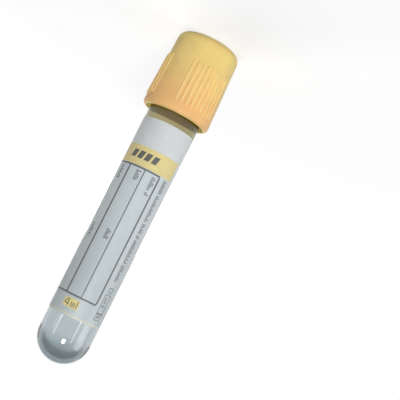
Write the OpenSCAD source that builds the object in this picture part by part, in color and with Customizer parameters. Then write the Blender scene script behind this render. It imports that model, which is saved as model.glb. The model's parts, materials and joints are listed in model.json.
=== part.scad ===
// Blood collection tube, 13 x 75 mm, with its shielded closure pressed home.
// On its side it rolls and its round end can't carry it, so it stands on the flat top of its cap,
// with the solution on the stopper. Every piece is drawn with the cap up, and stand() turns it over.
// The height z is 0 at the tip of the round end and tube_len at the rim. An angle about the axis is
// 90 degrees at the middle of the label's print, which faces the front once the part stands.

/* [Tube] */
// Length from the tip of the round end to the rim
tube_len = 75; // [60:1:100]
// Outside diameter at the rim
tube_d = 13; // [11:0.1:16]
// Draft of the tube's wall, each side, in degrees
tube_draft = 0.08; // [0:0.02:0.2]
// Thickness of the side wall
tube_wall = 1.05; // [0.8:0.05:1.4]
// Thickness at the tip of the round end
end_wall = 1.9; // [1:0.1:3]
// Radius of the rounded edges of the rim
rim_round = 0.35; // [0.1:0.05:0.38]

/* [Cap] */
// Height of the plastic cap
cap_h = 20.2; // [17:0.1:25]
// How far the skirt hangs below the rim of the tube
skirt_drop = 10.8; // [8:0.1:13]
// Gap between the tube and the skirt at the skirt's edge
skirt_gap = 1.0; // [0.8:0.05:1.6]
// Thickness of the cap's wall
cap_wall = 1.1; // [0.9:0.05:1.5]
// Draft of the cap, each side, in degrees
cap_draft = 2.1; // [1:0.1:2.5]
// Radius of the rounded shoulder round the top
shoulder_round = 2.0; // [1:0.1:2.4]
// Radius of the rounded lower edge of the skirt
edge_round = 1.0; // [0.4:0.1:1.05]
// Thickness of the top plate
plate_t = 1.8; // [1.2:0.1:2.4]
// Diameter of the opening for the needle
port_d = 8; // [6:0.1:9]
// Chamfer at the mouth of that opening
port_chamfer = 0.4; // [0.1:0.1:0.8]
// Width of the snap bead's clearance round the tube
bead_clear = 0.25; // [0.2:0.05:0.3]
// Height of the snap bead's land
bead_land = 0.6; // [0.4:0.1:0.8]
// Thickness of the inner collar that presses on the stopper
collar_t = 0.9; // [0.7:0.1:1]

/* [Grip ribs] */
// Number of rib groups round the cap
rib_groups = 3; // [2:1:3]
// Ribs in each group
ribs_per_group = 9; // [3:1:9]
// Angle from one rib to the next, in degrees
rib_pitch = 9; // [7:0.5:9]
// Where the first rib lies, in degrees about the tube
rib_from = 78.5; // [0:0.5:120]
// How far a rib stands proud of the cap
rib_proud = 0.25; // [0.22:0.01:0.3]
// Radius of a rib's round back
rib_r = 0.35; // [0.32:0.01:0.45]
// Smooth band above the ribs
rib_above = 6.8; // [5:0.1:9]
// Smooth band below the ribs
rib_below = 2.4; // [2.4:0.1:4]

/* [Stopper] */
// How deep the plug reaches into the tube
plug_len = 9; // [7:0.1:12]
// Clearance between the plug's sealing rings and the bore
plug_clear = 0.05; // [0.02:0.01:0.1]
// How far the sealing rings stand out from the plug
ring_proud = 0.25; // [0.1:0.05:0.4]
// Radius of a sealing ring
ring_r = 0.7; // [0.5:0.05:0.9]
// Number of sealing rings
ring_count = 3; // [2:1:3]
// Height from the middle of the first ring up to the rim
ring_drop = 1.1; // [0.9:0.1:1.4]
// Radius of the plug's rounded lower edge
plug_round = 1.1; // [0.6:0.1:1.3]
// Thickness of the flange that sits on the rim
flange_t = 3.2; // [2.5:0.1:4]
// How far the flange overhangs the tube
flange_over = 0.55; // [0.45:0.05:0.6]
// Radius of the flange's rounded upper edge
flange_round = 0.3; // [0.1:0.05:0.5]
// Diameter of the neck above the flange
neck_d = 10.2; // [9.8:0.1:10.6]
// Radius of the neck's rounded upper edge
neck_round = 0.5; // [0.2:0.1:0.8]
// Gap between the neck's top face and the cap's top plate
neck_gap = 1.0; // [0.6:0.1:1.4]
// Diameter of the well in the top, where the needle enters
well_d = 6.8; // [4:0.1:7.4]
// Depth of that well
well_depth = 3.0; // [1.5:0.1:4]
// Bevel round the floor of that well
well_bevel = 0.5; // [0.2:0.1:1]
// Diameter of the hollow under the plug
hollow_d = 6.2; // [4:0.1:7]
// Depth of that hollow
hollow_depth = 4.6; // [2:0.1:5]
// Radius of the hollow's rounded roof
hollow_round = 1.6; // [0.4:0.1:1.9]
// Clearance between the stopper and the cap
seat_clear = 0.05; // [0.02:0.01:0.1]

/* [Label] */
// Height of the label along the tube
label_h = 50; // [35:1:55]
// Height of the label's lower edge above the tip of the round end
label_z = 11.2; // [9:0.1:14]
// How far the label wraps round the tube, in degrees
label_wrap = 300; // [200:5:340]
// Where the label's first edge lies, in degrees about the tube
label_from = -138; // [-180:0.5:180]
// Thickness of the label
label_t = 0.1; // [0.06:0.01:0.15]
// Thickness of the glue under it
glue_t = 0.02; // [0.01:0.01:0.04]

/* [Solution] */
// Depth of the solution over the plug that it stands on
fill_depth = 4.4; // [1:0.1:20]
// Clearance between the solution and the walls that hold it
fill_clear = 0.02; // [0.01:0.01:0.05]

/* [Hidden] */
$fn = 96;
over = 1;                                     // how far a cutting shape runs past what it cuts

// Tube
tube_r = tube_d / 2;
draft_k = tan(tube_draft);
function tube_out(z) = tube_r - (tube_len - z) * draft_k;
end_r = tube_out(tube_r);                     // radius of the round end, outside
bore_r = tube_r - tube_wall;                  // bore radius at the rim
function bore_out(z) = tube_out(z) - tube_wall;
bore_end_r = bore_out(end_r);                 // radius of the round end, inside
bore_end_z = end_wall + bore_end_r;           // height of that round end's centre

// Cap
cap_z0 = tube_len - skirt_drop;
cap_z1 = cap_z0 + cap_h;
cap_edge_r = tube_r + skirt_gap + cap_wall;
function cap_out(z) = cap_edge_r - (z - cap_z0) * tan(cap_draft);
plate_z = cap_z1 - plate_t;                   // underside of the top plate
flange_z1 = tube_len + flange_t;
flange_r = tube_r + flange_over;
seat_r = flange_r + seat_clear;               // bore of the cap round the flange
bead_r = tube_r + bead_clear;
collar_r = neck_d / 2 + seat_clear;
plug_z = tube_len - plug_len;                 // underside of the plug

// Cap's rounded edges: the middles of their arcs
edge_z = cap_z0 + edge_round;
edge_r = cap_out(edge_z) - edge_round / cos(cap_draft);
shoulder_z = cap_z1 - shoulder_round;
shoulder_r = cap_out(shoulder_z) - shoulder_round / cos(cap_draft);

// Ribs: the middles of their round ends
rib_z0 = cap_z0 + rib_below + rib_r;
rib_z1 = cap_z1 - rib_above - rib_r;
function rib_line(z) = cap_out(z) + rib_proud - rib_r / cos(cap_draft);

// Turns a shape drawn with the cap up over, and stands it on the flat top of the cap
module stand() {
    translate([0, 0, cap_z1]) rotate([180, 0, 0]) children();
}

// The half-plane right of the axis, to keep a profile clear of the far side
module right_half() {
    intersection() {
        children();
        translate([0, -tube_len]) square([tube_len, 4 * tube_len]);
    }
}

// Side profile of a blind hole of radius r, with a rounded corner of radius f at its far end
module blind_hole(r, depth, f) {
    square([r, depth - f]);
    square([r - f, depth]);
    translate([r - f, depth - f]) circle(f);
}

// Side profile of a round-ended plug from the tip up to z_top, with the radius r_end at its
// round end and r_top at z_top
module round_end_profile(z_end, r_end, r_top, z_top) {
    right_half() union() {
        translate([0, z_end]) circle(r_end);
        polygon([[0, z_end], [r_end, z_end], [r_top, z_top], [0, z_top]]);
    }
}

// Square corner at [r, z] of a profile, cut away outside a fillet of radius f. The material lies
// on the side of -sx and -sz.
module corner_cut(r, z, f, sx, sz) {
    translate([r, z]) difference() {
        translate([sx > 0 ? -f : -over, sz > 0 ? -f : -over]) square([f + over, f + over]);
        translate([-sx * f, -sz * f]) circle(f);
    }
}

module tube() {
    color([0.84, 0.90, 0.92, 0.35]) stand() rotate_extrude() difference() {
        round_end_profile(end_r, end_r, tube_r, tube_len);
        round_end_profile(bore_end_z, bore_end_r, bore_out(tube_len + over), tube_len + over);
        corner_cut(tube_r, tube_len, rim_round, 1, 1);
        corner_cut(bore_r, tube_len, rim_round, -1, 1);
    }
}

// Outline of the cap: drafted sides, a rounded shoulder and a rounded lower edge
module cap_outline() {
    side = [cos(cap_draft), sin(cap_draft)];
    right_half() union() {
        polygon([
            [0, cap_z0],
            [edge_r, cap_z0],
            [edge_r, edge_z] + edge_round * side,
            [shoulder_r, shoulder_z] + shoulder_round * side,
            [shoulder_r, cap_z1],
            [0, cap_z1]
        ]);
        translate([edge_r, edge_z]) circle(edge_round);
        translate([shoulder_r, shoulder_z]) circle(shoulder_round);
    }
}

// Everything that is open inside the cap: the skirt, the bead's undercut, the seat of the
// flange, the neck's hole, the cored ring outside the collar, and the needle's opening
module cap_inside() {
    bead_z = tube_len - seat_clear;
    ramp_z = bead_z - bead_land - (cap_out(bead_z) - cap_wall - bead_r);
    polygon([
        [0, cap_z0 - over],
        [cap_out(cap_z0) - cap_wall, cap_z0 - over],
        [cap_out(cap_z0) - cap_wall, cap_z0],
        [cap_out(ramp_z) - cap_wall, ramp_z],
        [bead_r, bead_z - bead_land],
        [bead_r, bead_z],
        [seat_r, bead_z],
        [seat_r, flange_z1],
        [collar_r, flange_z1],
        [collar_r, plate_z],
        [port_d / 2, plate_z],
        [port_d / 2, cap_z1 - port_chamfer],
        [port_d / 2 + port_chamfer + over, cap_z1 + over],
        [0, cap_z1 + over]
    ]);
    core_r0 = collar_r + collar_t;
    core_z1 = plate_z;
    core_r1 = cap_out(core_z1) - cap_wall;
    translate([core_r0, flange_z1 - over / 2])
        square([core_r1 - core_r0, core_z1 - flange_z1 + over / 2]);
}

// One rib: a slim rod with round ends, leaning with the cap's draft
module rib() {
    length = (rib_z1 - rib_z0) / cos(cap_draft);
    translate([rib_line(rib_z0), 0, rib_z0]) rotate([0, -cap_draft, 0]) rotate_extrude()
        right_half() union() {
            circle(rib_r);
            square([rib_r, length]);
            translate([0, length]) circle(rib_r);
        }
}

module cap() {
    color([0.93, 0.70, 0.33]) stand() difference() {
        union() {
            rotate_extrude() cap_outline();
            for (g = [0 : rib_groups - 1], i = [0 : ribs_per_group - 1])
                rotate(g * 360 / rib_groups + rib_from + i * rib_pitch) rib();
        }
        rotate_extrude() right_half() cap_inside();
    }
}

// Side profile of the rubber: ringed plug, flange on the rim, and neck under the top plate
module stopper_profile() {
    neck_z1 = plate_z - neck_gap;
    core_r = bore_r - plug_clear - ring_proud;
    difference() {
        union() {
            translate([0, plug_z]) square([core_r, plug_len + over / 2]);
            for (i = [0 : ring_count - 1]) {
                z = tube_len - ring_drop - i * (plug_len - 2 * ring_drop) / ring_count;
                translate([bore_out(z) - plug_clear - ring_r, z]) circle(ring_r);
            }
            translate([0, tube_len]) square([flange_r, flange_t]);
            translate([0, tube_len]) square([neck_d / 2, neck_z1 - tube_len]);
        }
        corner_cut(core_r, plug_z, plug_round, 1, -1);
        corner_cut(neck_d / 2, neck_z1, neck_round, 1, 1);
        corner_cut(flange_r, flange_z1, flange_round, 1, 1);
        // Needle's well, with a shallow cone for a floor
        translate([0, neck_z1 - well_depth]) polygon([
            [0, 0],
            [well_d / 2 - well_bevel, well_bevel],
            [well_d / 2, 2 * well_bevel],
            [well_d / 2, well_depth + over],
            [0, well_depth + over]
        ]);
        // Hollow under the plug
        translate([0, plug_z - over]) blind_hole(hollow_d / 2, hollow_depth + over, hollow_round);
    }
}

module stopper() {
    color([0.55, 0.53, 0.50]) stand() rotate_extrude() right_half() stopper_profile();
}

module label() {
    color([0.86, 0.89, 0.91]) stand() rotate([0, 0, label_from])
        rotate_extrude(angle = label_wrap) polygon([
            [tube_out(label_z) + glue_t, label_z],
            [tube_out(label_z) + glue_t + label_t, label_z],
            [tube_out(label_z + label_h) + glue_t + label_t, label_z + label_h],
            [tube_out(label_z + label_h) + glue_t, label_z + label_h]
        ]);
}

// The solution stands on the plug: it fills the plug's hollow and the bore up to its level surface
module additive_solution() {
    level_z = plug_z - fill_depth;
    foot_z = plug_z - fill_clear;
    color([0.96, 0.94, 0.80, 0.5]) stand() rotate_extrude() right_half() union() {
        polygon([
            [0, level_z],
            [bore_out(level_z) - fill_clear, level_z],
            [bore_out(foot_z) - fill_clear, foot_z],
            [0, foot_z]
        ]);
        translate([0, foot_z - over])
            blind_hole(hollow_d / 2 - fill_clear, hollow_depth + over, hollow_round - fill_clear);
    }
}

tube();
cap();
stopper();
label();
additive_solution();
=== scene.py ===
# %% [markdown]
# # A blood collection tube
# The part is a clear plastic tube, 13 mm across and 75 mm long, with a round end, a label wrapped
# round it, a rubber stopper and a ribbed plastic cap. A tube rolls when it is laid down and its
# round end can't carry it, so it stands upside down on the flat top of its cap.
#
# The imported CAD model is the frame. Its cap and stopper already have their true shape, so they
# only get a finish. The tube, the label, the print and the solution are modelled here, because
# clear plastic needs smooth walls, and film and ink are too thin for a CAD model to show well.

# %% Load the frame
import json
import math
import random
import bmesh
import bpy
from mathutils import Matrix, Vector


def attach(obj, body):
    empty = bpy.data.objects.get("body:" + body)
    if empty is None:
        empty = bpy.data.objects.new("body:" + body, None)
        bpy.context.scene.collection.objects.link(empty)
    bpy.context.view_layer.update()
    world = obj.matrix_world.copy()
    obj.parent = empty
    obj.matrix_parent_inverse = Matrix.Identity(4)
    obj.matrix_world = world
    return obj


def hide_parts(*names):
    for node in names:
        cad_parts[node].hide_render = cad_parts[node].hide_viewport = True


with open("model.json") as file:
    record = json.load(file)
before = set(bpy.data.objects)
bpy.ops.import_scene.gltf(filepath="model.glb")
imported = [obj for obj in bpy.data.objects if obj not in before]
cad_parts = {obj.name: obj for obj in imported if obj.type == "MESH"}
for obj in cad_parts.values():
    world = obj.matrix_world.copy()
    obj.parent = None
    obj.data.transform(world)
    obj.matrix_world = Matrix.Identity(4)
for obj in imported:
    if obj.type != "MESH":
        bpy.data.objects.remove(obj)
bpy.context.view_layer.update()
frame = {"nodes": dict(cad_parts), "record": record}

MM = 0.001
TOUCHING = 0.01 * MM

# %% [markdown]
# ## The tube's own frame
# It is easier to model a tube the way one reads its label: cap up, with heights counted from the
# tip of the round end and the print on the front, which is the side of -Y. STAND turns that own
# frame over and stands it on its cap. The record's mount at the tip says where the tip goes.
#
# An angle about the axis is 0 on the front and grows to the right, so that a place on the label is
# an angle and a height, as on a map.

# %% The tube's own frame
mounts = {mount["name"]: mount for mount in frame["record"]["mounts"]}
STAND = Matrix.Translation(mounts["rack_seat"]["pos_m"]) @ Matrix.Rotation(math.pi, 4, "Y")
TIP_Z = mounts["rack_seat"]["pos_m"][2]
print(f"the tip of the round end stands {TIP_Z / MM:.1f} mm above the floor")


def cad_corners(node):
    """Radius, angle in degrees and height of each corner of a CAD node, in the tube's own frame"""
    into_own = STAND.inverted()
    places = [into_own @ corner.co for corner in frame["nodes"][node].data.vertices]
    return [(math.hypot(p.x, p.y), math.degrees(math.atan2(p.x, -p.y)), p.z) for p in places]


# %% [markdown]
# ## Sizes taken from the CAD model
# The pieces made here have to fit the stopper and the cap, so their sizes are measured on the CAD
# nodes that they stand for. The tube's wall has a slight draft, so it is narrower at the round end.
# The label follows that draft, and its radius is given as it would be at the tip.

# %% Sizes of the tube
LOW_WALL = 10 * MM
HIGH_WALL = 70 * MM
NEAR_AXIS = 0.1 * MM
ABOVE_TIP = 0.5 * MM
tube_corners = cad_corners("tube")
RIM_Z = max(z for r, a, z in tube_corners)
RIM_R = max(r for r, a, z in tube_corners)
END_R = max(r for r, a, z in tube_corners if z < LOW_WALL)
BORE_R = min(r for r, a, z in tube_corners if z > HIGH_WALL)
END_WALL = min(z for r, a, z in tube_corners if r < NEAR_AXIS and z > ABOVE_TIP)
WALL = RIM_R - BORE_R
DRAFT = (RIM_R - END_R) / (RIM_Z - END_R)
print(f"tube {2 * RIM_R / MM:.2f} mm at the rim, {2 * END_R / MM:.2f} mm at the end, "
      f"wall {WALL / MM:.2f} mm, tip {END_WALL / MM:.2f} mm, length {RIM_Z / MM:.1f} mm")


def outside_r(z):
    """Outside radius of the tube's wall at a height"""
    return RIM_R - (RIM_Z - z) * DRAFT


# %% Sizes of the label
label_corners = cad_corners("label")
LABEL_LOW = min(z for r, a, z in label_corners)
LABEL_HIGH = max(z for r, a, z in label_corners)
LABEL_R = max(r for r, a, z in label_corners if z < LABEL_LOW + MM) - LABEL_LOW * DRAFT
label_angles = sorted({round(a, 1) for r, a, z in label_corners})
next_angles = label_angles[1:] + [label_angles[0] + 360]
CLEAR_STRIP, LABEL_RIGHT = max((b - a, a) for a, b in zip(label_angles, next_angles))
LABEL_LEFT = LABEL_RIGHT - 360 + CLEAR_STRIP
print(f"label {LABEL_LOW / MM:.1f} to {LABEL_HIGH / MM:.1f} mm, "
      f"{LABEL_LEFT:.0f} to {LABEL_RIGHT:.0f} degrees")

# %% [markdown]
# ## Helpers for modelling
# Edit mode works on what is selected, so each step picks its vertices, edges or faces by where
# their middle lies. What is hidden isn't picked, which keeps two shells in one mesh apart.

# %% Start, pick and put in place
def start(name, add, **sizes):
    """Adds a primitive with nothing else selected, and opens it in edit mode"""
    bpy.ops.object.select_all(action="DESELECT")
    add(**sizes)
    piece = bpy.context.object
    piece.name = name
    piece.data.name = name
    bpy.ops.object.transform_apply(location=True, rotation=True, scale=True)
    bpy.ops.object.mode_set(mode="EDIT")
    return piece


def pick(kind, wanted):
    """Selects the visible vertices, edges or faces whose middle passes a test"""
    bpy.ops.mesh.select_mode(type=kind)
    bpy.ops.mesh.select_all(action="DESELECT")
    shape = bmesh.from_edit_mesh(bpy.context.object.data)
    for item in {"VERT": shape.verts, "EDGE": shape.edges, "FACE": shape.faces}[kind]:
        corners = [item] if kind == "VERT" else item.verts
        middle = sum((v.co for v in corners), Vector()) / len(corners)
        if not item.hide and wanted(middle):
            item.select_set(True)
    shape.select_flush_mode()
    bmesh.update_edit_mesh(bpy.context.object.data)


def close_edit():
    """Leaves edit mode with everything visible"""
    bpy.ops.mesh.reveal(select=False)
    bpy.ops.object.mode_set(mode="OBJECT")


def finish_modifiers(piece):
    """Applies the piece's modifiers in order"""
    for modifier in list(piece.modifiers):
        bpy.ops.object.modifier_apply(modifier=modifier.name)


def put_in_place(piece, body):
    """Stands a finished piece on the cap, and makes it move with its body"""
    bpy.ops.object.select_all(action="DESELECT")
    piece.select_set(True)
    bpy.context.view_layer.objects.active = piece
    piece.matrix_world = STAND @ piece.matrix_world
    bpy.ops.object.transform_apply(location=True, rotation=True, scale=True)
    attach(piece, body)
    print(f"{piece.name}: {len(piece.data.polygons)} faces on {body}")


# %% [markdown]
# ## The clear tube
# The real tube is injection moulded in one piece: a ball-shaped end with a thick tip, and a straight
# wall with a slight draft, so that it leaves its mould. The CAD model's facets would show in the
# clear wall as streaks. Here each skin of the tube starts as half a ball with many segments, whose
# open edge is pulled up to the rim. Extra rings over the ball and under the rim keep the smooth
# shading of the long wall straight. Then the two skins are bridged at the rim, and its two edges
# are rounded.

# %% Model the clear tube
ROUND = 160
RIM_ROUND = 0.35 * MM
RINGS_OVER_BALL = (0.3 * MM, 1.0 * MM)
RINGS_UNDER_RIM = (1.5 * MM, 0.8 * MM, 0)


def raise_wall(ball_z, radius_at):
    """Keeps the lower half of the visible ball, and pulls its open edge up to the rim"""
    pick("FACE", lambda p: p.z > ball_z)
    bpy.ops.mesh.delete(type="FACE")
    pick("EDGE", lambda p: abs(p.z - ball_z) < TOUCHING)
    stops = [ball_z + rise for rise in RINGS_OVER_BALL] + [RIM_Z - drop for drop in RINGS_UNDER_RIM]
    low = ball_z
    for stop in stops:
        bpy.ops.mesh.extrude_region_move(TRANSFORM_OT_translate={"value": (0, 0, stop - low)})
        grow = radius_at(stop) / radius_at(low)
        bpy.ops.transform.resize(value=(grow, grow, 1), center_override=(0, 0, stop))
        low = stop


def clear_tube():
    """Models the tube in its own frame"""
    bore_end_r = END_R - WALL
    bore_ball_z = END_WALL + bore_end_r
    piece = start("clear_tube", bpy.ops.mesh.primitive_uv_sphere_add, segments=ROUND,
                  ring_count=ROUND // 2, radius=END_R, location=(0, 0, END_R))
    raise_wall(END_R, outside_r)
    bpy.ops.mesh.select_all(action="SELECT")
    bpy.ops.mesh.hide()
    bpy.ops.mesh.primitive_uv_sphere_add(segments=ROUND, ring_count=ROUND // 2,
                                         radius=bore_end_r, location=(0, 0, bore_ball_z))
    raise_wall(bore_ball_z, lambda z: outside_r(z) - WALL)
    bpy.ops.mesh.select_all(action="SELECT")
    bpy.ops.mesh.flip_normals()
    bpy.ops.mesh.reveal(select=False)
    pick("EDGE", lambda p: p.z > RIM_Z - TOUCHING)
    bpy.ops.mesh.bridge_edge_loops()
    middle_r = RIM_R - WALL / 2
    pick("EDGE", lambda p: p.z > RIM_Z - TOUCHING
         and abs(math.hypot(p.x, p.y) - middle_r) > WALL / 3)
    bpy.ops.mesh.bevel(offset=RIM_ROUND, segments=5, affect="EDGES")
    close_edit()
    bpy.ops.object.shade_smooth()
    return piece


tube = clear_tube()
measure = bmesh.new()
measure.from_mesh(tube.data)
print(f"clear plastic: {measure.calc_volume() / MM ** 3:.0f} mm3, open edges:",
      sum(1 for edge in measure.edges if not edge.is_manifold))
measure.free()
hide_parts("tube")
put_in_place(tube, "tube_body")

# %% [markdown]
# ## Wrapping flat film round the tube
# A label is printed and cut flat, and then rolled round the tube, so it is modelled in that order.
# The flat drawing stands up on the front: a distance to the right is an arc on the tube's surface.
# Simple Deform then bends the flat shape to a cylinder and tapers it to the tube's draft. The flat
# shape first needs upright cuts, because only its corners bend.

# %% Draw a flat film
BEND_STEP = 3


def arc(angle):
    """Distance to the right, on the flat drawing, of an angle on the label"""
    return math.radians(angle) * LABEL_R


def degrees_of(width):
    """Angle that a width takes up on the label's face"""
    return math.degrees(width / LABEL_R)


def add_field(left, right, low, high):
    """Adds a rectangle to the flat drawing, between two angles and two heights, and selects it"""
    middle = (arc(left + right) / 2, 0, (low + high) / 2)
    bpy.ops.mesh.primitive_plane_add(size=1, location=middle, rotation=(math.pi / 2, 0, 0))
    bpy.ops.transform.resize(value=(arc(right - left), 1, high - low), center_override=middle)


def start_drawing(name):
    """Opens an empty mesh for a flat drawing"""
    piece = start(name, bpy.ops.mesh.primitive_plane_add, size=1)
    bpy.ops.mesh.delete(type="VERT")
    return piece


def cut_for_bending(left, right):
    """Cuts the whole drawing upright every few degrees"""
    steps = math.ceil((right - left) / BEND_STEP)
    for step in range(1, steps):
        bpy.ops.mesh.select_all(action="SELECT")
        place = (arc(left + (right - left) * step / steps), 0, 0)
        bpy.ops.mesh.bisect(plane_co=place, plane_no=(1, 0, 0), threshold=1e-7)


# %% Thicken, bend and taper it
FILM_CREASE = math.radians(30)


def shift(distance):
    """Moves the whole open piece towards its back, or towards its front if negative"""
    bpy.ops.object.mode_set(mode="EDIT")
    bpy.ops.mesh.select_all(action="SELECT")
    bpy.ops.transform.translate(value=(0, distance, 0))
    bpy.ops.object.mode_set(mode="OBJECT")


def deform(piece, method, **amount):
    """Bends or tapers the piece about the upright axis"""
    modifier = piece.modifiers.new("Deform", "SIMPLE_DEFORM")
    modifier.deform_method = method
    modifier.deform_axis = "Z"
    for setting, value in amount.items():
        setattr(modifier, setting, value)
    finish_modifiers(piece)


def wrap(piece, proud, depth):
    """Gives the drawing a thickness, from proud of the label's face down to a depth, and rolls it"""
    bpy.ops.object.mode_set(mode="OBJECT")
    thickness = piece.modifiers.new("Thickness", "SOLIDIFY")
    thickness.thickness = proud + depth
    thickness.offset = -1
    thickness.use_even_offset = True
    finish_modifiers(piece)
    shift(-proud)
    across = [corner.co.x for corner in piece.data.vertices]
    along = [corner.co.z for corner in piece.data.vertices]
    deform(piece, "BEND", angle=(max(across) - min(across)) / LABEL_R)
    shift(-LABEL_R)
    deform(piece, "TAPER", factor=DRAFT * (max(along) - min(along)) / LABEL_R)
    bpy.ops.object.shade_smooth_by_angle(angle=FILM_CREASE)


# %% [markdown]
# ## The label
# The real label is a sheet of printed film that goes five sixths of the way round, and leaves a
# clear strip through which the level of the blood is read. The two corners at its right edge are
# cut round, so that they don't peel. It is drawn flat as one rectangle, those corners are rounded
# with a vertex bevel, and the sheet is then wrapped.

# %% Model the label
FILM = 0.1 * MM
CORNER = 1.5 * MM

label = start_drawing("printed_label")
add_field(LABEL_LEFT, LABEL_RIGHT, LABEL_LOW, LABEL_HIGH)
pick("VERT", lambda p: p.x > arc(LABEL_RIGHT - 1))
bpy.ops.mesh.bevel(offset=CORNER, segments=8, affect="VERTICES")
cut_for_bending(LABEL_LEFT, LABEL_RIGHT)
wrap(label, proud=0, depth=FILM)
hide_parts("label")
put_in_place(label, "tube_body")

# %% [markdown]
# ## The print
# On the real label there are a coloured band with a word, a frame with columns to write in, small
# captions, a column of fine text and a volume figure. Here the words are left out: plain blocks
# and strokes of ink stand where they were, so that the label keeps its look and names nobody. Only
# the plain number 4 stays. Each ink is a thin plate that stands a little proud of the film, wrapped
# with the same helpers, so it follows the label's curve. What is printed over another ink stands
# twice as proud.

# %% Ink
INK = 0.015 * MM
OVERPRINT = 2 * INK
INK_DEPTH = 0.01 * MM


def print_piece(name, fields, proud=INK, slant=0):
    """Wraps fields (left and right angle, low and high place) as one layer of ink, with a slant"""
    piece = start_drawing(name)
    for field in fields:
        add_field(*field)
    if slant:
        middle = (min(f[2] for f in fields) + max(f[3] for f in fields)) / 2
        pick("VERT", lambda p: p.z > middle)
        bpy.ops.transform.translate(value=(slant, 0, 0))
    cut_for_bending(min(f[0] for f in fields), max(f[1] for f in fields))
    wrap(piece, proud=proud, depth=INK_DEPTH)
    put_in_place(piece, "tube_body")
    return piece


# %% [markdown]
# ## The coloured band, the edge line and the patch
# The band runs round the label under its blank head, and a thin line of the same kind of yellow
# ends the label at the bottom. A small patch of the band's yellow lies behind the volume figure.

# %% Band, edge line and patch
BAND_LOW = 49.4 * MM
BAND_HIGH = 54.1 * MM
BAND_LEFT = LABEL_LEFT + 11
BAND_RIGHT = 61
EDGE_LINE = 0.45 * MM
EDGE_LINE_LOW = LABEL_LOW + 0.1 * MM
PATCH = (-36.5, -2, 13.1 * MM, 15.3 * MM)

band = print_piece("yellow_band", [(BAND_LEFT, BAND_RIGHT, BAND_LOW, BAND_HIGH)])
edge_line = print_piece("yellow_edge_line", [
    (LABEL_LEFT + 1, LABEL_RIGHT - 3, EDGE_LINE_LOW, EDGE_LINE_LOW + EDGE_LINE)])
patch = print_piece("yellow_patch", [PATCH])

# %% [markdown]
# ## The frame of columns
# The frame is drawn with heavy and fine rules. Each rule is a narrow field: one along the top and
# one along the bottom, and one for each side of a column, given by its angle.

# %% Frame of columns
FRAME_LOW = 16.1 * MM
FRAME_HIGH = 49.1 * MM
HEAVY = 0.42 * MM
FINE = 0.25 * MM
COLUMNS = {29: HEAVY, -5.1: FINE, -40.8: HEAVY, -78: FINE, -114: HEAVY, -150: HEAVY}

rules = [(min(COLUMNS), max(COLUMNS), z - HEAVY / 2, z + HEAVY / 2) for z in (FRAME_LOW, FRAME_HIGH)]
for angle, width in COLUMNS.items():
    half = degrees_of(width) / 2
    rules.append((angle - half, angle + half, FRAME_LOW + HEAVY / 2, FRAME_HIGH - HEAVY / 2))
frame_rules = print_piece("frame_rules", rules)

# %% [markdown]
# ## Strokes in place of words
# Fine text reads as a row of small dark strokes. The words run down the label, so each stroke is
# wide across the label and short along it, and the strokes of a word differ in width as letters
# do. A word is a number of strokes, and a space parts two words. The widths are drawn at random
# from a seed, so the label comes out the same each time.

# %% Captions and the fine column
MARK_ACROSS = 1.2 * MM
MARK_SHARES = (0.55, 0.75, 1, 1)
MARK_ALONG = 0.24 * MM
MARK_PITCH = 0.43 * MM
UPPER_ROW = 48.3 * MM
LOWER_ROW = 33.1 * MM
COLUMN_TOP = 48.9 * MM
lengths = random.Random(4)


def marks(angle, top, words, size=1.0):
    """Strokes of uneven width that run down the label from a height, in groups like words"""
    foot = angle - degrees_of(MARK_ACROSS * size) / 2
    fields = []
    place = top
    for word in words:
        for stroke in range(2 * word):
            across = degrees_of(MARK_ACROSS * size * lengths.choice(MARK_SHARES))
            fields.append((foot, foot + across, place - MARK_ALONG * size, place))
            place -= MARK_PITCH * size
        place -= MARK_PITCH * size
    return fields


captions = []
for angle, row, words in ((18.3, UPPER_ROW, [4, 1]), (-16.5, UPPER_ROW, [3]), (-16.5, LOWER_ROW, [3]),
                          (-60, UPPER_ROW, [4]), (-60, LOWER_ROW, [4]), (-96, UPPER_ROW, [5]),
                          (-132, UPPER_ROW, [6])):
    captions += marks(angle, row, words)
caption_marks = print_piece("caption_marks", captions)
column_marks = print_piece("fine_column_marks", marks(47, COLUMN_TOP, [4, 8, 3, 1, 7, 5]))

# %% [markdown]
# ## Blocks on the band
# The bold word on the band becomes four slanted blocks. They are drawn upright, and their upper
# corners are moved to the right together.

# %% Blocks on the band
BLOCK_LOW = 51.0 * MM
BLOCK_HIGH = 52.9 * MM
FIRST_BLOCK = -51
BLOCK_PITCH = 16.2
BLOCK_WIDTH = 11.4
blocks = []
for number in range(4):
    left = FIRST_BLOCK + number * BLOCK_PITCH
    blocks.append((left, left + BLOCK_WIDTH, BLOCK_LOW, BLOCK_HIGH))
band_blocks = print_piece("band_blocks", blocks, proud=OVERPRINT, slant=0.45 * MM)

# %% [markdown]
# ## The figure on the patch
# The figure 4 is an upright, a crossbar on each side of it, and a stroke that is slanted far, which
# is a piece of its own because the others stay upright. Four plain strokes stand where the unit was.

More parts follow.
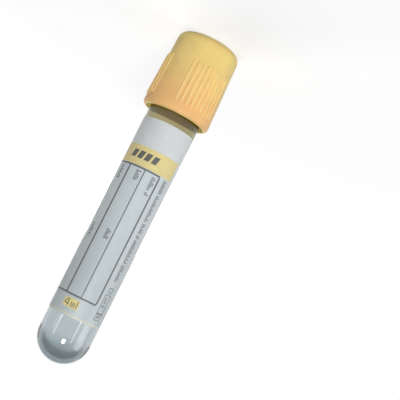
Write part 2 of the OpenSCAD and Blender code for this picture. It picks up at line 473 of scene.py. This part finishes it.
# %% Figure on the patch
FIGURE_LOW = 13.35 * MM
FIGURE_HIGH = 15.1 * MM
CROSSBAR_LOW = FIGURE_LOW + 0.42 * MM
CROSSBAR_HIGH = FIGURE_LOW + 0.64 * MM
STROKE_HIGH = FIGURE_HIGH - 0.6 * MM
FIGURE_LEFT = -34.2
UPRIGHT_LEFT = -27.0
UPRIGHT_RIGHT = -24.8
bars = [(UPRIGHT_LEFT, UPRIGHT_RIGHT, FIGURE_LOW, FIGURE_HIGH),
        (FIGURE_LEFT, UPRIGHT_LEFT, CROSSBAR_LOW, CROSSBAR_HIGH),
        (UPRIGHT_RIGHT, -23.0, CROSSBAR_LOW, CROSSBAR_HIGH)]
for left in (-19.5, -15.5, -11.5):
    bars.append((left, left + 2, FIGURE_LOW, STROKE_HIGH))
bars.append((-6.8, -4.6, FIGURE_LOW, FIGURE_HIGH))
figure_bars = print_piece("figure_bars", bars, proud=OVERPRINT)
figure_slope = print_piece("figure_slope", [(FIGURE_LEFT, -32.0, CROSSBAR_HIGH, FIGURE_HIGH)],
                           proud=OVERPRINT, slant=0.56 * MM)

# %% [markdown]
# ## Boxes at the end of the fine column
# The fine column ends in small outlined boxes, with a few strokes inside. An outline is four narrow
# fields that meet at the corners without lying over each other.

# %% Boxes at the end of the fine column
OUTLINE = 0.16 * MM
BOXES = ((39, 56, 14.6 * MM, 19.4 * MM), (39, 56, 12.9 * MM, 14.6 * MM), (42, 53, 19.9 * MM, 21.2 * MM))


def outline(left, right, low, high):
    """Four narrow fields just inside a rectangle's edge"""
    side = degrees_of(OUTLINE)
    return [(left, right, low, low + OUTLINE),
            (left, right, high - OUTLINE, high),
            (left, left + side, low + OUTLINE, high - OUTLINE),
            (right - side, right, low + OUTLINE, high - OUTLINE)]


boxes = []
for box in BOXES:
    boxes += outline(*box)
boxes += marks(47.5, 18.7 * MM, [2, 1], 0.9)
boxes += marks(47.5, 14.1 * MM, [1], 0.8)
column_boxes = print_piece("column_boxes", boxes)

# %% [markdown]
# ## The solution
# A drop of clear solution waits in the tube to mix with the blood. The tube stands on its cap, so
# the liquid stands on the stopper and fills the hollow under the plug. It starts as a cylinder of
# the CAD solution's size. The foot is inset and extruded into the hollow, and its far edge is
# bevelled round. The free surface is inset ring by ring, and each ring is moved away from the wall's
# line of contact, which gives the curved edge of a liquid that wets its wall. The liquid reaches
# a hair into the wall: light then goes straight from plastic to liquid, with no film of air.

# %% Sizes of the solution
INTO_WALL = 0.03 * MM
PAST_POOL = 5 * MM
PAST_HOLLOW = 0.5 * MM
solution_corners = cad_corners("additive_solution")
LEVEL = min(z for r, a, z in solution_corners)
HOLLOW_END = max(z for r, a, z in solution_corners)
POOL_R = max(r for r, a, z in solution_corners) + INTO_WALL
HOLLOW_R = max(r for r, a, z in solution_corners if z > LEVEL + PAST_POOL)
FOOT = max(z for r, a, z in solution_corners if r > HOLLOW_R + PAST_HOLLOW)
print(f"solution from {LEVEL / MM:.1f} to {FOOT / MM:.1f} mm, hollow {HOLLOW_R / MM:.2f} mm "
      f"in radius up to {HOLLOW_END / MM:.1f} mm")

# %% Model the solution
HOLLOW_ROUND = 1.58 * MM
CLIMB = 0.4 * MM
CLIMB_REACH = 1.2 * MM
SURFACE_RINGS = (0.1, 0.15, 0.2, 0.3, 0.4, 0.5, 0.6, 0.8)
POOL_CREASE = math.radians(40)


def model_solution():
    """Models the solution in the tube's own frame"""
    contact = LEVEL - CLIMB
    piece = start("clear_solution", bpy.ops.mesh.primitive_cylinder_add, vertices=ROUND,
                  radius=POOL_R, depth=FOOT - contact, location=(0, 0, (FOOT + contact) / 2))
    pick("FACE", lambda p: abs(p.z - FOOT) < TOUCHING)
    bpy.ops.mesh.inset(thickness=POOL_R - HOLLOW_R)
    bpy.ops.mesh.extrude_region_move(TRANSFORM_OT_translate={"value": (0, 0, HOLLOW_END - FOOT)})
    pick("EDGE", lambda p: abs(p.z - HOLLOW_END) < TOUCHING)
    bpy.ops.mesh.bevel(offset=HOLLOW_ROUND, segments=8, affect="EDGES")
    pick("FACE", lambda p: abs(p.z - contact) < TOUCHING)
    away = 0
    rise = 0
    for width in SURFACE_RINGS:
        bpy.ops.mesh.inset(thickness=width * MM)
        away += width * MM
        next_rise = CLIMB * (1 - math.exp(-away / CLIMB_REACH))
        bpy.ops.transform.translate(value=(0, 0, next_rise - rise))
        rise = next_rise
    close_edit()
    bpy.ops.object.shade_smooth_by_angle(angle=POOL_CREASE)
    return piece


solution = model_solution()
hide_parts("additive_solution")
put_in_place(solution, "tube_body")

# %% [markdown]
# ## Helpers for finishes
# Each finish is a small graph of nodes. Patterns read Object coordinates, which are places in
# metres on the part as it stands at rest, so they stay on the piece when it moves.

# %% Nodes by name
def add_node(tree, kind, inputs=None, **settings):
    """Adds a node, sets its options, and fills its inputs with values or links"""
    node = tree.nodes.new(kind)
    for option, value in settings.items():
        setattr(node, option, value)
    for socket, value in (inputs or {}).items():
        if isinstance(value, bpy.types.NodeSocket):
            tree.links.new(value, node.inputs[socket])
        else:
            node.inputs[socket].default_value = value
    return node


def opaque(color):
    """A colour with its alpha, or a socket that gives a colour as it is"""
    return color if isinstance(color, bpy.types.NodeSocket) else (*color, 1)


def mix_colors(tree, share, first, second):
    """The first colour where the share is 0, and the second where it is 1"""
    mix = add_node(tree, "ShaderNodeMix", {
        "Factor": share, 6: opaque(first), 7: opaque(second)}, data_type="RGBA")
    return mix.outputs[2]


def new_group(name, inputs, outputs):
    """Makes an empty node group with named sockets, and returns it with its two ends"""
    group = bpy.data.node_groups.new(name, "ShaderNodeTree")
    for socket, (kind, value) in inputs.items():
        made = group.interface.new_socket(socket, in_out="INPUT", socket_type=kind)
        made.default_value = value
    for socket, kind in outputs.items():
        group.interface.new_socket(socket, in_out="OUTPUT", socket_type=kind)
    return group, group.nodes.new("NodeGroupInput"), group.nodes.new("NodeGroupOutput")


def new_material(name):
    """Makes a material with an empty graph and an output"""
    material = bpy.data.materials.new(name)
    material.use_nodes = True
    material.node_tree.nodes.clear()
    return material, material.node_tree, material.node_tree.nodes.new("ShaderNodeOutputMaterial")


def give(material, *pieces):
    """Puts one material on all the faces of each piece"""
    for piece in pieces:
        if not piece.material_slots:
            piece.data.materials.append(material)
        for slot in piece.material_slots:
            slot.material = material
    print(f"{material.name} on", ", ".join(piece.name for piece in pieces))


# %% [markdown]
# ## Surface grain
# Nothing moulded or printed is quite even. This group varies a colour and a roughness in soft
# patches, and gives the height of a fine grain for a Bump node. Every finish of the part uses it,
# each with its own values, so it is built once.

# %% Surface grain
def build_surface_grain():
    """Node group: soft patches in colour and roughness, and a fine grain"""
    group, start_node, end_node = new_group("Surface grain", {
        "Color": ("NodeSocketColor", (0.8, 0.8, 0.8, 1)),
        "Contrast": ("NodeSocketFloat", 0.05),
        "Patches per Metre": ("NodeSocketFloat", 400),
        "Roughness": ("NodeSocketFloat", 0.5),
        "Roughness Spread": ("NodeSocketFloat", 0.05),
        "Grains per Metre": ("NodeSocketFloat", 5000),
    }, {"Color": "NodeSocketColor", "Roughness": "NodeSocketFloat", "Height": "NodeSocketFloat"})
    given = start_node.outputs
    place = add_node(group, "ShaderNodeTexCoord").outputs["Object"]
    patches = add_node(group, "ShaderNodeTexNoise", {
        "Vector": place, "Scale": given["Patches per Metre"], "Detail": 3, "Roughness": 0.6})
    swing = add_node(group, "ShaderNodeMapRange", {
        "Value": patches.outputs["Fac"],
        "From Min": 0.3, "From Max": 0.7, "To Min": -1, "To Max": 1})
    shade = add_node(group, "ShaderNodeMath", {
        0: swing.outputs["Result"], 1: given["Contrast"], 2: 1}, operation="MULTIPLY_ADD")
    color = add_node(group, "ShaderNodeVectorMath", {
        0: given["Color"], "Scale": shade.outputs[0]}, operation="SCALE")
    rough = add_node(group, "ShaderNodeMath", {
        0: swing.outputs["Result"], 1: given["Roughness Spread"], 2: given["Roughness"]},
        operation="MULTIPLY_ADD", use_clamp=True)
    grain = add_node(group, "ShaderNodeTexNoise", {
        "Vector": place, "Scale": given["Grains per Metre"], "Detail": 2})
    group.links.new(color.outputs[0], end_node.inputs["Color"])
    group.links.new(rough.outputs[0], end_node.inputs["Roughness"])
    group.links.new(grain.outputs["Fac"], end_node.inputs["Height"])
    return group


surface_grain = build_surface_grain()


def grained_shader(tree, color, contrast, patches, roughness, spread, grains, bump, **sockets):
    """A Principled shader whose colour, roughness and bump come from the surface grain"""
    grain = add_node(tree, "ShaderNodeGroup", {
        "Color": opaque(color), "Contrast": contrast, "Patches per Metre": patches,
        "Roughness": roughness, "Roughness Spread": spread, "Grains per Metre": grains},
        node_tree=surface_grain)
    relief = add_node(tree, "ShaderNodeBump", {
        "Height": grain.outputs["Height"], "Distance": bump, "Strength": 1})
    named = {socket.replace("_", " "): value for socket, value in sockets.items()}
    return add_node(tree, "ShaderNodeBsdfPrincipled", {
        "Base Color": grain.outputs["Color"], "Roughness": grain.outputs["Roughness"],
        "Normal": relief.outputs["Normal"], **named})


# %% [markdown]
# ## Blend by height
# The cap gets more orange towards the edge of its skirt, and the label's film gets darker towards
# the round end: both are painted shade. Both colours run along the tube, so they share a group that
# blends two colours between two heights.

# %% Blend by height
def build_blend_by_height():
    """Node group: one colour below a height above the floor, another above a second height"""
    group, start_node, end_node = new_group("Blend by height", {
        "Lower": ("NodeSocketColor", (0.8, 0.8, 0.8, 1)),
        "Upper": ("NodeSocketColor", (0.8, 0.8, 0.8, 1)),
        "From": ("NodeSocketFloat", 0),
        "To": ("NodeSocketFloat", 0.01),
    }, {"Color": "NodeSocketColor"})
    given = start_node.outputs
    place = add_node(group, "ShaderNodeTexCoord").outputs["Object"]
    height = add_node(group, "ShaderNodeSeparateXYZ", {0: place}).outputs["Z"]
    share = add_node(group, "ShaderNodeMapRange", {
        "Value": height, "From Min": given["From"], "From Max": given["To"]},
        interpolation_type="SMOOTHSTEP")
    blended = mix_colors(group, share.outputs["Result"], given["Lower"], given["Upper"])
    group.links.new(blended, end_node.inputs["Color"])
    return group


blend_by_height = build_blend_by_height()


def height_color(tree, lower, upper, low, high):
    """A colour that runs from one to another between two heights above the floor"""
    blend = add_node(tree, "ShaderNodeGroup", {
        "Lower": opaque(lower), "Upper": opaque(upper), "From": low, "To": high},
        node_tree=blend_by_height)
    return blend.outputs["Color"]


# %% [markdown]
# ## Clear plastic and solution
# A clear wall bends light, so it needs real transmission and its true index of refraction. A path
# tracer takes long to find light through it, so rays that look for a lamp pass straight through a
# tinted Transparent shader, chosen by Light Path. The grey-blue tint is deeper than the plastic's
# own faint tint: the rest is painted shade, for darker surroundings seen through the clear wall. It
# gets deeper where light goes a long way through the wall, which is what Volume Absorption does.

# %% Clear materials
def clear_material(name, tint, index, roughness, waves, bump, absorbed=None, density=0):
    """A tinted clear material that lets shadow rays through"""
    material, tree, output = new_material(name)
    shader = grained_shader(tree, tint, contrast=0.03, patches=150, roughness=roughness,
                            spread=roughness / 2, grains=waves, bump=bump,
                            IOR=index, Transmission_Weight=1.0)
    one_wall = [math.sqrt(part) for part in tint]
    through = add_node(tree, "ShaderNodeBsdfTransparent", {"Color": opaque(one_wall)})
    path = add_node(tree, "ShaderNodeLightPath")
    mix = add_node(tree, "ShaderNodeMixShader", {
        0: path.outputs["Is Shadow Ray"], 1: shader.outputs[0], 2: through.outputs[0]})
    tree.links.new(mix.outputs[0], output.inputs["Surface"])
    if absorbed:
        depth = add_node(tree, "ShaderNodeVolumeAbsorption", {
            "Color": opaque(absorbed), "Density": density})
        tree.links.new(depth.outputs[0], output.inputs["Volume"])
    return material


# Painted shade: the grey-blue tint and its absorption are deeper than the plastic's own
give(clear_material("Clear PET", (0.82, 0.85, 0.86), index=1.57, roughness=0.02, waves=300,
                    bump=0.004 * MM, absorbed=(0.50, 0.58, 0.61), density=440), tube)
# Partly its own straw colour, partly painted shade: the deep amber darkens the cap's inside seen
# through it
give(clear_material("Straw solution with painted shade", (0.82, 0.60, 0.22), index=1.34, roughness=0.01, waves=200,
                    bump=0.001 * MM), solution)

# %% [markdown]
# ## The cap's plastic
# The cap is a satin polyethylene that light enters, most of all red light, so it has subsurface
# scattering. It is golden where it stands and more orange towards the edge of its skirt, which is
# painted shade. The crests of its ribs are a brighter orange, which is a painted highlight, and the
# inside of the skirt is a clean gold, which is painted light, as if light came through the skirt's
# wall. The distance from the axis, with the wall's draft taken off, tells whether a place lies on a
# crest or inside.

# %% Cap
EDGE_ZONE = 66 * MM
SHOULDER_ZONE = 80 * MM
WALL_GOLD = (0.90, 0.69, 0.26)
# Painted shade, a painted highlight and painted light, in this order:
SKIRT_SHADE_ORANGE = (0.92, 0.56, 0.24)
CREST_HIGHLIGHT_ORANGE = (1.0, 0.70, 0.30)
INSIDE_GLOW_GOLD = (1.0, 0.80, 0.30)
cap_corners = cad_corners("cap")
edge_r, edge_z = max((r, z) for r, a, z in cap_corners if z < EDGE_ZONE)
shoulder_r, shoulder_z = max((r, z) for r, a, z in cap_corners if z > SHOULDER_ZONE)
CAP_SLOPE = (shoulder_r - edge_r) / (shoulder_z - edge_z)
CAP_FOOT_R = edge_r + (TIP_Z - edge_z) * CAP_SLOPE
print(f"cap wall leans {math.degrees(math.atan(-CAP_SLOPE)):.1f} degrees, "
      f"{CAP_FOOT_R / MM:.2f} mm in radius where it stands")


def foot_radius(tree):
    """Distance of a place from the axis, as it would be at the floor if it slid down the draft"""
    place = add_node(tree, "ShaderNodeTexCoord").outputs["Object"]
    split = add_node(tree, "ShaderNodeSeparateXYZ", {0: place})
    across = add_node(tree, "ShaderNodeCombineXYZ", {0: split.outputs["X"], 1: split.outputs["Y"]})
    radius = add_node(tree, "ShaderNodeVectorMath", {0: across.outputs[0]}, operation="LENGTH")
    leaning = add_node(tree, "ShaderNodeMath", {
        0: split.outputs["Z"], 1: CAP_SLOPE, 2: radius.outputs["Value"]}, operation="MULTIPLY_ADD")
    return leaning.outputs[0]


def radius_color(tree, radius, inner, outer, low, high):
    """A colour that runs from one to another between two distances from the wall's face"""
    share = add_node(tree, "ShaderNodeMapRange", {
        "Value": radius, "From Min": CAP_FOOT_R + low, "From Max": CAP_FOOT_R + high})
    return mix_colors(tree, share.outputs["Result"], inner, outer)


def cap_plastic():
    """The cap's plastic, with painted shade towards the skirt, a painted highlight on its crests and
    painted light inside
    """
    material, tree, output = new_material("Amber polyethylene")
    radius = foot_radius(tree)
    # Gold wall that turns orange towards the skirt: painted shade
    wall = height_color(tree, WALL_GOLD, SKIRT_SHADE_ORANGE, 4 * MM, 19 * MM)
    # Brighter orange on the rib crests: a painted highlight
    outside = radius_color(tree, radius, wall, CREST_HIGHLIGHT_ORANGE, 0.08 * MM, 0.22 * MM)
    # Brighter gold inside the skirt: painted light
    color = radius_color(tree, radius, INSIDE_GLOW_GOLD, outside, -0.9 * MM, -0.5 * MM)
    shader = grained_shader(tree, color, contrast=0.04, patches=300, roughness=0.42, spread=0.06,
                            grains=9000, bump=0.004 * MM, Subsurface_Weight=0.4,
                            Subsurface_Scale=0.6 * MM, Subsurface_Radius=(1.0, 0.5, 0.25),
                            Specular_IOR_Level=0.12)
    tree.links.new(shader.outputs[0], output.inputs["Surface"])
    return material


give(cap_plastic(), frame["nodes"]["cap"])

# %% [markdown]
# ## Rubber and film
# The rubber is matt and grey. The label's film is nearly white at its blank head. Under the band it
# is tinted grey-blue, and that field gets darker towards the round end, which is painted shade. A
# little light goes into the film and spreads there, as it does in white plastic.

# %% Rubber and film
HEAD_WHITE = (0.72, 0.75, 0.76)
FIELD_GREY = (0.62, 0.69, 0.71)
FIELD_END_SHADE_GREY = (0.51, 0.57, 0.585)


def rubber():
    """The stopper's moulded rubber"""
    material, tree, output = new_material("Moulded rubber")
    shader = grained_shader(tree, (0.40, 0.36, 0.30), contrast=0.1, patches=500, roughness=0.6,
                            spread=0.08, grains=12000, bump=0.006 * MM)
    tree.links.new(shader.outputs[0], output.inputs["Surface"])
    return material


def label_film():
    """The label's film, tinted in the field under the band"""
    material, tree, output = new_material("Label film")
    # The field darkens towards the round end: painted shade
    field = height_color(tree, FIELD_GREY, FIELD_END_SHADE_GREY, TIP_Z - BAND_LOW, TIP_Z - LABEL_LOW)
    color = height_color(tree, HEAD_WHITE, field, TIP_Z - BAND_HIGH, TIP_Z - BAND_LOW)
    shader = grained_shader(tree, color, contrast=0.03, patches=600, roughness=0.36, spread=0.05,
                            grains=14000, bump=0.004 * MM, Subsurface_Weight=0.7,
                            Subsurface_Scale=0.3 * MM, Subsurface_Radius=(1.0, 0.95, 0.9))
    tree.links.new(shader.outputs[0], output.inputs["Surface"])
    return material


give(rubber(), frame["nodes"]["stopper"])
give(label_film(), label)

# %% [markdown]
# ## Inks
# An ink lies on the film and takes over its satin sheen. The inks differ in colour only, so one
# function makes them all.

# %% Inks
def ink(name, color):
    """A printed ink: a little uneven, with the film's sheen"""
    material, tree, output = new_material(name)
    shader = grained_shader(tree, color, contrast=0.05, patches=1500, roughness=0.4, spread=0.06,
                            grains=14000, bump=0.003 * MM)
    tree.links.new(shader.outputs[0], output.inputs["Surface"])
    return material


give(ink("Yellow ink", (0.74, 0.63, 0.28)), band, patch)
give(ink("Pale yellow ink", (0.62, 0.63, 0.54)), edge_line)
give(ink("Black ink", (0.10, 0.105, 0.09)), band_blocks)
give(ink("Olive ink", (0.16, 0.15, 0.09)), figure_bars, figure_slope)
give(ink("Grey ink", (0.13, 0.14, 0.15)), frame_rules)
give(ink("Fine grey ink", (0.13, 0.145, 0.16)), caption_marks, column_marks, column_boxes)

# %% [markdown]
# ## The floor
# The floor is pale and plain, and keeps the part's shadow. Light Path lets it look white to the
# camera, in reflections and through clear walls, without putting that light on the object. The glow
# grows with the distance from the part, so that the floor runs into the white background.

# %% Floor
FLOOR = 3.0
UNDER_CAP = 0.02 * MM
NEAR = 80 * MM
FAR = 400 * MM
NEAR_GLOW = 0.64
FAR_GLOW = 1
GREY_PAINT = (0.5, 0.5, 0.5)
WHITE = (1, 1, 1)

bpy.ops.object.select_all(action="DESELECT")
bpy.ops.mesh.primitive_plane_add(size=FLOOR, location=(0, 0, -UNDER_CAP))
floor = bpy.context.object
floor.name = "floor"
bpy.ops.object.transform_apply(location=True, rotation=True, scale=True)


def bounced_ray(tree, path):
    """1 for rays from a reflection or a clear wall"""
    return add_node(tree, "ShaderNodeMath", {
        0: path.outputs["Is Glossy Ray"], 1: path.outputs["Is Transmission Ray"]},
        operation="ADD", use_clamp=True).outputs[0]


def floor_paint():
    """A grey floor that also glows for the rays that see it directly"""
    material, tree, output = new_material("Pale floor")
    place = add_node(tree, "ShaderNodeTexCoord").outputs["Object"]
    away = add_node(tree, "ShaderNodeVectorMath", {0: place}, operation="LENGTH")
    whitening = add_node(tree, "ShaderNodeMapRange", {
        "Value": away.outputs["Value"],
        "From Min": NEAR, "From Max": FAR, "To Min": NEAR_GLOW, "To Max": FAR_GLOW})
    path = add_node(tree, "ShaderNodeLightPath")
    seen = add_node(tree, "ShaderNodeMath", {
        0: path.outputs["Is Camera Ray"], 1: bounced_ray(tree, path)},
        operation="ADD", use_clamp=True)
    glow = add_node(tree, "ShaderNodeMath", {
        0: seen.outputs[0], 1: whitening.outputs["Result"]}, operation="MULTIPLY")
    paint = add_node(tree, "ShaderNodeBsdfDiffuse", {"Color": opaque(GREY_PAINT)})
    light = add_node(tree, "ShaderNodeEmission", {
        "Color": opaque(WHITE), "Strength": glow.outputs[0]})
    both = add_node(tree, "ShaderNodeAddShader", {0: paint.outputs[0], 1: light.outputs[0]})
    tree.links.new(both.outputs[0], output.inputs["Surface"])
    return material


give(floor_paint(), floor)

# %% [markdown]
# ## The world
# The world is white to the camera and fills the shadows with a little light. Reflections and clear
# walls see a white horizon and a greyer ceiling. The step between the two draws the contour of the
# bore in the round end, as a dark ceiling over a bright table does.

# %% World
WORLD_LIGHT = 0.2
CEILING = 0.45
CEILING_FROM = 0.4
CEILING_TO = 0.6

world = bpy.data.worlds.new("Soft white studio")
bpy.context.scene.world = world
world.use_nodes = True
tree = world.node_tree
tree.nodes.clear()
path = add_node(tree, "ShaderNodeLightPath")
direction = add_node(tree, "ShaderNodeTexCoord").outputs["Generated"]
up = add_node(tree, "ShaderNodeSeparateXYZ", {0: direction}).outputs["Z"]
ceiling = add_node(tree, "ShaderNodeMapRange", {
    "Value": up, "From Min": CEILING_FROM, "From Max": CEILING_TO, "To Min": 1, "To Max": CEILING})
around = add_node(tree, "ShaderNodeMix", {
    "Factor": bounced_ray(tree, path), 2: WORLD_LIGHT, 3: ceiling.outputs["Result"]})
fill = add_node(tree, "ShaderNodeMix", {
    "Factor": path.outputs["Is Camera Ray"], 2: around.outputs[0], 3: 1})
studio = add_node(tree, "ShaderNodeBackground", {
    "Color": opaque(WHITE), "Strength": fill.outputs[0]})
add_node(tree, "ShaderNodeOutputWorld", {"Surface": studio.outputs[0]})
print(f"world: {WORLD_LIGHT} on surfaces, 1 at the horizon and {CEILING} overhead in clear walls")

# %% [markdown]
# ## The lamps
# A key lamp stands in front, and a large lamp lights the back. Two narrow strips draw narrow
# highlights along the clear walls, and a small lamp lightens the right side. The key lamp can't be
# seen through clear walls, and the back lamp neither there nor in reflections, because each would
# show in the round end as a white patch.
#
# A lamp's place is given in the tube's own frame, where below level means above the floor.

# %% Lamps
MIDDLE = Vector((0, 0, 45 * MM))


def lamp(name, side, down, distance, width, height, watts):
    """A flat lamp at an angle to the right and an angle below level, in the tube's own frame"""
    right = math.radians(side)
    below = math.radians(down)
    away = Vector((math.sin(right) * math.cos(below), -math.cos(right) * math.cos(below),
                   -math.sin(below)))
    place = STAND @ (MIDDLE + away * distance)
    facing = (STAND @ MIDDLE - place).to_track_quat("-Z", "Y")
    bpy.ops.object.light_add(type="AREA", location=place, rotation=facing.to_euler())
    made = bpy.context.object
    made.name = name
    made.data.shape = "RECTANGLE"
    made.data.size = width
    made.data.size_y = height
    made.data.energy = watts
    made.visible_camera = False
    print(f"{name}: {watts} W, {distance} m away and {place.z:.2f} m above the floor")
    return made


key_lamp = lamp("key_lamp", side=4, down=18.5, distance=1.6, width=0.4, height=0.5, watts=16)
key_lamp.visible_transmission = False
for name, side in (("left_strip", -52), ("right_strip", 34)):
    lamp(name, side, down=6.5, distance=1.6, width=0.05, height=0.3, watts=0.45)
back_lamp = lamp("back_lamp", side=-168, down=22, distance=1.6, width=0.9, height=0.7, watts=15)
back_lamp.visible_transmission = False
back_lamp.visible_glossy = False
lamp("side_lamp", side=72, down=12, distance=0.7, width=0.4, height=0.4, watts=1.2)

# %% [markdown]
# ## Camera
# The camera looks at the printed front from near the height of the label's lower part. In the
# tube's own frame it looks slightly up to the cap, and it is rolled to the side, so the tube leans
# in the picture. Standing on its cap, the part is seen slightly from above.

# %% Camera
CAMERA_AWAY = 218.2 * MM
CAMERA_Z = 22.62 * MM
PAN = math.radians(3.75)
TILT = math.radians(6.95)
ROLL = math.radians(26.19)
LENS = 82.61
SENSOR = 36
NEAREST = 10 * MM

bpy.ops.object.camera_add()
camera = bpy.context.object
camera.name = "camera"
camera.data.lens = LENS
camera.data.sensor_width = SENSOR
camera.data.clip_start = NEAREST
own_view = (Matrix.Translation((0, -CAMERA_AWAY, CAMERA_Z)) @ Matrix.Rotation(-PAN, 4, "Z")
            @ Matrix.Rotation(math.pi / 2 + TILT, 4, "X") @ Matrix.Rotation(ROLL, 4, "Z"))
camera.matrix_world = STAND @ own_view
bpy.context.scene.camera = camera
bpy.context.scene.view_settings.view_transform = "Standard"
print(f"camera {CAMERA_AWAY / MM:.0f} mm from the axis, lens {LENS} mm")
